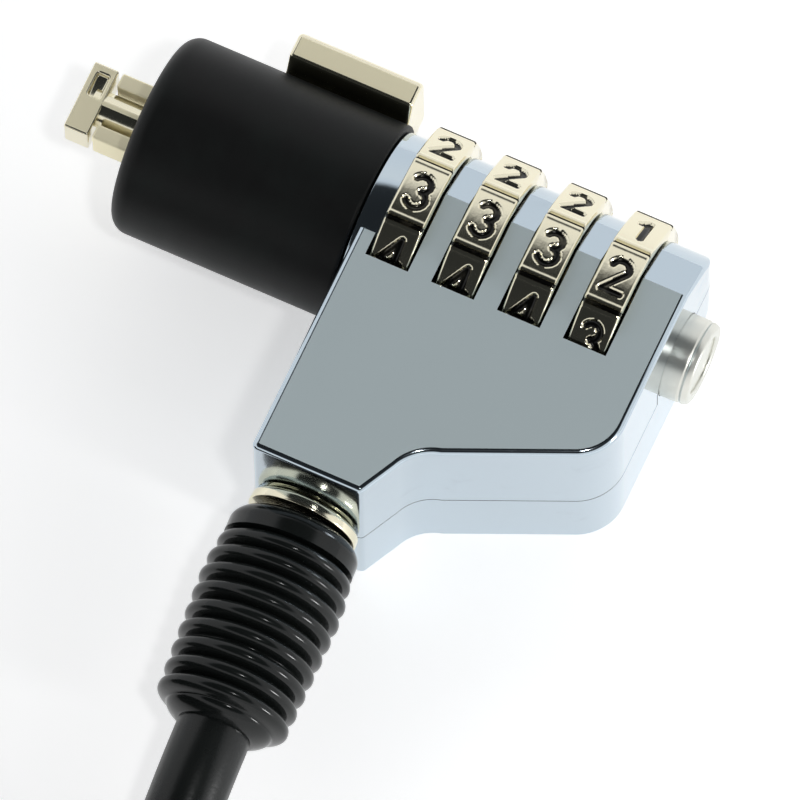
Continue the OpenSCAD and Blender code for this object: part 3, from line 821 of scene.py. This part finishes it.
def dial(number, top_digit):
    """A nickel dial: ten slightly crowned flats, a grooved bar at each corner, cut digits, with
    painted shade in the cuts and bars.
    """
    across, per_flat = 42, 60
    flat = DIAL_R * math.cos(math.radians(FLAT_DEG / 2))
    x = np.linspace(0, DIAL_W, across + 1)
    part = (np.arange(per_flat) + 0.5) / per_flat * FLAT_DEG - FLAT_DEG / 2
    rise = flat * np.tan(np.radians(part))
    grid_x, grid_y = np.meshgrid(x - DIAL_W / 2, rise, indexing="ij")
    rim = np.minimum(grid_x + DIAL_W / 2, DIAL_W / 2 - grid_x)
    # Each flat is a height field over the dial's width and round its rim
    rows = []
    dark = []
    for place in range(10):
        digit = (top_digit + place) % 10
        middle = FIRST_FLAT_DEG - FLAT_DEG * place
        height = flat + CROWN * (1 - (grid_y / 2.6) ** 2)
        groove = BAR_FROM_MIDDLE - np.abs(grid_y)
        bar = np.clip(1 - (groove / BAR_HALF_W) ** 2, 0, 1) ** 0.5
        lip = np.clip(1 - ((groove - 0.5) / 0.2) ** 2, 0, 1)
        height = height - BAR_DEEP * bar + 0.03 * lip
        far = nearest(grid_x, grid_y, stroke(digit))
        cut = np.clip(1 - (far / STROKE_HALF_W) ** 2, 0, 1) ** 0.5
        height = height - STROKE_DEEP * cut
        height = height - 0.1 * np.clip(1 - rim / 0.16, 0, 1) ** 2
        angle = np.radians(middle) + np.arctan2(grid_y, flat)
        reach = height / np.cos(np.arctan2(grid_y, flat))
        reach = np.minimum(reach, DIAL_R)
        rows.append((np.degrees(angle), reach))
        # Where the digits and bars are cut deep, the faces get the painted shade
        dark.append((cut > 0.35) | (bar > 0.3))
    order = sorted(range(10), key=lambda p: rows[p][0].mean())
    angles = np.concatenate([rows[p][0] for p in order], axis=1)
    reaches = np.concatenate([rows[p][1] for p in order], axis=1)
    count = angles.shape[1]
    shade = np.concatenate([dark[p] for p in order], axis=1)
    points = []
    for i in range(across + 1):
        for j in range(count):
            a = math.radians(angles[i, j])
            points.append((x[i], reaches[i, j] * math.sin(a), reaches[i, j] * math.cos(a)))
    faces = []
    for i in range(across):
        for j in range(count):
            n = (j + 1) % count
            faces.append((i * count + j, (i + 1) * count + j, (i + 1) * count + n, i * count + n))
    # Both end faces step down to the bore
    start = len(points)
    for place, edge in ((0.0, 0), (DIAL_W, across)):
        for radius in (DIAL_STEP_R, DIAL_BORE_R):
            for j in range(count):
                a = math.radians(angles[edge, j])
                points.append((place, radius * math.sin(a), radius * math.cos(a)))
    rings = [(0, start), (start, start + count), (start + count, start + 3 * count),
             (start + 3 * count, start + 2 * count), (start + 2 * count, across * count)]
    for one, other in rings:
        for j in range(count):
            n = (j + 1) % count
            faces.append((one + j, other + j, other + n, one + n))
    placed = np.array(points) + np.array([DIAL_X0 + (number - 1) * DIAL_PITCH, 0, 0])
    made = piece("number_dial_%d" % number, at(placed), faces, [NICKEL, GROOVE_SHADE],
                 "dial_%d" % number, ["dial_%d" % number], 50)
    # Faces inside the cuts take the second finish, the painted shade
    for i in range(across):
        for j in range(count):
            n = (j + 1) % count
            if shade[i, j] and shade[i + 1, n] and shade[i + 1, j] and shade[i, n]:
                made.data.polygons[i * count + j].material_index = 1


# ---------------------------------------------------------------- button and ferrule

def button():
    """Push button with a turned groove near its end."""
    end = 25.4
    profile = [(0, 22.6)] + rounded([
        (3.15, 22.6), (3.15, end - 0.75), (3.02, end - 0.62), (3.15, end - 0.48), (2.95, end),
        (2.3, end), (2.15, end - 0.14)], 0.16, 6) + [(0, end - 0.14)]
    points, faces = lathe(profile, 128)
    piece("push_button", points, faces, NICKEL_TURNED, "button", ["end_button"], 30)


def ferrule():
    """Swivelling ferrule with its flange at the outlet."""
    profile = rounded([
        (1.95, 14.2), (2.8, 14.2), (2.8, 15.7), (3.4, 15.7), (3.4, 21.25), (3.95, 21.5),
        (4.15, 21.75), (4.15, 22.4), (1.95, 22.4)], 0.14, 5)
    points, faces = lathe(profile, 128, round_cable=True)
    piece("ferrule", points, faces, NICKEL, "swivel", ["swivel_ferrule"], 30)


# ---------------------------------------------------------------- strain relief

def ribbed_tree():
    """Node tree that turns a line into a ribbed tube, given its ribs and radii."""
    tree = bpy.data.node_groups.new("ribbed_tube", "GeometryNodeTree")
    tree.is_modifier = True
    face = tree.interface
    face.new_socket("Geometry", in_out="OUTPUT", socket_type="NodeSocketGeometry")
    for name in ("Length", "Ribs", "First Radius", "Last Radius", "Rib Depth", "Collar Share",
                 "Collar Radius", "Collar Dome", "Tail Share", "Shoulder"):
        face.new_socket(name, in_out="INPUT", socket_type="NodeSocketFloat")
    face.new_socket("Finish", in_out="INPUT", socket_type="NodeSocketMaterial")
    g = Graph(tree)
    given = tree.nodes.new("NodeGroupInput")
    size = {s.name: Wire(g, s) for s in given.outputs if s.name}
    end = g.node("ShaderNodeCombineXYZ", inputs={"Y": 0 - size["Length"]})
    line = g.node("GeometryNodeCurvePrimitiveLine", inputs={"Start": (0, 0, 0), "End": end})
    dense = g.node("GeometryNodeResampleCurve", inputs={"Curve": line, "Count": 260})
    along = g.node("GeometryNodeSplineParameter")
    ribs_at = (along - size["Collar Share"]) / (1 - size["Collar Share"] - size["Tail Share"])
    phase = (ribs_at * size["Ribs"]).apply("FRACT")
    crest = (phase * 2 - 1).apply("ABSOLUTE") ** 2.6
    shoulder = 1 - (ribs_at * 3.2).apply("MINIMUM", 1.0)
    taper = size["First Radius"] + (size["Last Radius"] - size["First Radius"]) * ribs_at
    taper = taper - size["Shoulder"] * shoulder ** 2
    ribbed = taper - size["Rib Depth"] * crest
    on_collar = (along / size["Collar Share"]).apply("LESS_THAN", 1.0)
    on_tail = ribs_at.apply("GREATER_THAN", 1.0)
    tail_at = (ribs_at - 1) * (1 - size["Collar Share"] - size["Tail Share"]) / size["Tail Share"]
    tail = (size["Last Radius"] - size["Rib Depth"]) * (1 - tail_at ** 2 * 0.28)
    ends = ((along * 14).apply("MINIMUM", 1.0) * 0.5 * math.pi).apply("SINE") ** 0.6
    collar = (size["Collar Radius"] - size["Collar Dome"]) + ends * size["Collar Dome"]
    middle = ribbed * (1 - on_collar) * (1 - on_tail)
    radius = middle + collar * on_collar + tail * on_tail
    shaped = g.node("GeometryNodeSetCurveRadius", inputs={"Curve": dense, "Radius": radius})
    ring = g.node("GeometryNodeCurvePrimitiveCircle", inputs={"Resolution": 112, "Radius": 1.0})
    tube = g.node("GeometryNodeCurveToMesh", inputs={
        "Curve": shaped, "Profile Curve": ring, "Fill Caps": True,
        "Scale": g.node("GeometryNodeInputRadius")})
    real = g.node("GeometryNodeRealizeInstances", inputs={"Geometry": tube})
    coated = g.node("GeometryNodeSetMaterial", inputs={
        "Geometry": real, "Material": size["Finish"]})
    result = tree.nodes.new("NodeGroupOutput")
    tree.links.new(coated.socket, result.inputs[0])
    return tree


def grown(name, tree, values):
    """The mesh that a node tree makes with these input values."""
    host = bpy.data.objects.new(name + "_host", bpy.data.meshes.new(name + "_host"))
    bpy.context.scene.collection.objects.link(host)
    step = host.modifiers.new("grow", "NODES")
    step.node_group = tree
    for item in tree.interface.items_tree:
        if item.item_type == "SOCKET" and item.in_out == "INPUT" and item.name in values:
            step[item.identifier] = values[item.name]
    mesh = baked(host)
    bpy.data.objects.remove(host, do_unlink=True)
    return mesh


def strain_relief():
    """Ribbed boot that leans a little with the cable."""
    mesh = grown("strain_relief", ribbed_tree(), {
        "Length": 0.0162, "Ribs": 9.0, "First Radius": 0.00545, "Last Radius": 0.0049,
        "Rib Depth": 0.0009, "Collar Share": 0.13, "Collar Radius": 0.00485,
        "Collar Dome": 0.0011, "Tail Share": 0.06, "Shoulder": 0.0006, "Finish": BOOT})
    lean = Matrix.Rotation(math.radians(BOOT_LEAN_DEG), 4, "Z")
    start = Matrix.Translation(at((CABLE_X, BOOT_Y, CABLE_Z)))
    mesh.transform(start @ lean)
    finished("strain_relief", mesh, BOOT, "root", ["boot"], 60)


# ---------------------------------------------------------------- coil tie and crimp

def closed_strip(path, width, thick, turn):
    """A strap that follows a closed path of (out, up) points across the coil's winding."""
    section = [(-width / 2, 0.0), (-width / 2 + 0.25, thick / 2), (width / 2 - 0.25, thick / 2),
               (width / 2, 0.0), (width / 2 - 0.25, -thick / 2), (-width / 2 + 0.25, -thick / 2)]
    count = len(path)
    points = []
    for i in range(count):
        here = np.array(path[i])
        way = np.array(path[(i + 1) % count]) - np.array(path[i - 1])
        way = way / np.linalg.norm(way)
        normal = np.array([way[1], -way[0]])
        for across, out in section:
            r, z = here + normal * out
            points.append((COIL_X + r * math.cos(turn) - across * math.sin(turn),
                           COIL_Y + r * math.sin(turn) + across * math.cos(turn), z))
    sides = len(section)
    faces = []
    for i in range(count):
        j = (i + 1) % count
        for k in range(sides):
            n = (k + 1) % sides
            faces.append((i * sides + k, i * sides + n, j * sides + n, j * sides + k))
    return np.array(points) * MM, faces


def stitch_tree():
    """Node tree that lays short thread stitches along the points of a mesh line."""
    tree = bpy.data.node_groups.new("stitches", "GeometryNodeTree")
    tree.is_modifier = True
    face = tree.interface
    face.new_socket("Geometry", in_out="OUTPUT", socket_type="NodeSocketGeometry")
    face.new_socket("Count", in_out="INPUT", socket_type="NodeSocketInt")
    for name in ("Row", "Stitch", "Thread"):
        face.new_socket(name, in_out="INPUT", socket_type="NodeSocketFloat")
    face.new_socket("Finish", in_out="INPUT", socket_type="NodeSocketMaterial")
    g = Graph(tree)
    given = tree.nodes.new("NodeGroupInput")
    size = {s.name: Wire(g, s) for s in given.outputs if s.name}
    step = g.node("ShaderNodeCombineXYZ", inputs={"X": size["Row"] / size["Count"]})
    row = g.node("GeometryNodeMeshLine", inputs={"Count": size["Count"], "Offset": step})
    seed = g.node("GeometryNodeMeshIcoSphere", inputs={"Radius": 1.0, "Subdivisions": 2})
    shape = g.node("ShaderNodeCombineXYZ", inputs={
        "X": size["Stitch"] * 0.5, "Y": size["Thread"] * 0.5, "Z": size["Thread"] * 0.5})
    laid = g.node("GeometryNodeInstanceOnPoints", inputs={
        "Points": row, "Instance": seed, "Scale": shape})
    real = g.node("GeometryNodeRealizeInstances", inputs={"Geometry": laid})
    coated = g.node("GeometryNodeSetMaterial", inputs={
        "Geometry": real, "Material": size["Finish"]})
    result = tree.nodes.new("NodeGroupOutput")
    tree.links.new(coated.socket, result.inputs[0])
    return tree


def coil_tie():
    """Hook-and-loop strap round the winding, with two rows of stitches on top."""
    inner, outer, low, high = 18.4, 37.65, 0.4, 17.9
    corner = 2.2
    width, thick = 10, 0.78
    path = arc((inner + corner, low + corner), corner, 270, 180, 8)
    path += arc((inner + corner, high - corner), corner, 180, 90, 8)
    path += arc((outer - corner, high - corner), corner, 90, 0, 8)
    path += arc((outer - corner, low + corner), corner, 0, -90, 8)
    turn = math.radians(TIE_DEG)
    points, faces = closed_strip(path, width, thick, turn)
    piece("hook_loop_tie", points, faces, STRAP, "root", ["coil_tie"], 50)
    tree = stitch_tree()
    for name, side in (("tie_seam_a", -4.1), ("tie_seam_b", 4.1)):
        mesh = grown("seam", tree, {"Count": 12, "Row": 0.0145, "Stitch": 0.0009,
                                    "Thread": 0.00024, "Finish": SEAM})
        turned = Matrix.Rotation(turn, 4, "Z")
        shifted = Matrix.Translation((21.1 * MM, side * MM, (high + 0.42) * MM))
        mesh.transform(Matrix.Translation((COIL_X * MM, COIL_Y * MM, 0)) @ turned @ shifted)
        finished(name, mesh, SEAM, "root")


def crimp():
    """Pressed sleeve round both strands of the eye, with two press marks."""
    length, half, radius = 13.0, CABLE_D / 2, 3.0
    press_deep, press_at = 0.22, (-3.2, 3.2)
    stations = np.linspace(0, 1, 72)
    ring = 72
    points = []
    for s in stations:
        y = (s - 0.5) * length
        ends = max(0.0, 1 - min(s, 1 - s) * length / 0.45)
        shrink = 0.4 * (1 - math.sqrt(max(0.0, 1 - ends ** 2)))
        dent = sum(math.exp(-(((y - c) / 1.15) ** 4)) for c in press_at) * press_deep
        for k in range(ring):
            a = 2 * math.pi * k / ring
            strand = half if math.cos(a) >= 0 else -half
            wall = radius - shrink
            flat = wall - dent
            x = strand + wall * math.cos(a)
            z = max(-flat, min(flat, wall * math.sin(a)))
            points.append((COIL_X + CRIMP_FROM_COIL + x, COIL_Y + y, EYE_Z + z))
    faces = [tuple(range(ring)), tuple(range(len(points) - ring, len(points)))]
    for i in range(len(stations) - 1):
        for k in range(ring):
            n = (k + 1) % ring
            faces.append((i * ring + k, i * ring + n, (i + 1) * ring + n, (i + 1) * ring + k))
    piece("pressed_crimp", np.array(points) * MM, faces, CRIMP, "root",
          ["eye_crimp"], 40)


# ---------------------------------------------------------------- the whole object

housing()
collar_and_core()
sleeve()
grip()
nose()
for number, top_digit in ((1, 2), (2, 2), (3, 2), (4, 1)):
    dial(number, top_digit)
button()
ferrule()
strain_relief()
coil_tie()
crimp()

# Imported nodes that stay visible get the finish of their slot
node_slots = {part["node"]: part["material_slot"] for part in frame["record"]["subparts"]}
for node_name, node_object in frame["nodes"].items():
    finish = SLOT_FINISH[node_slots[node_name]]
    for one in node_object.material_slots:
        one.material = finish
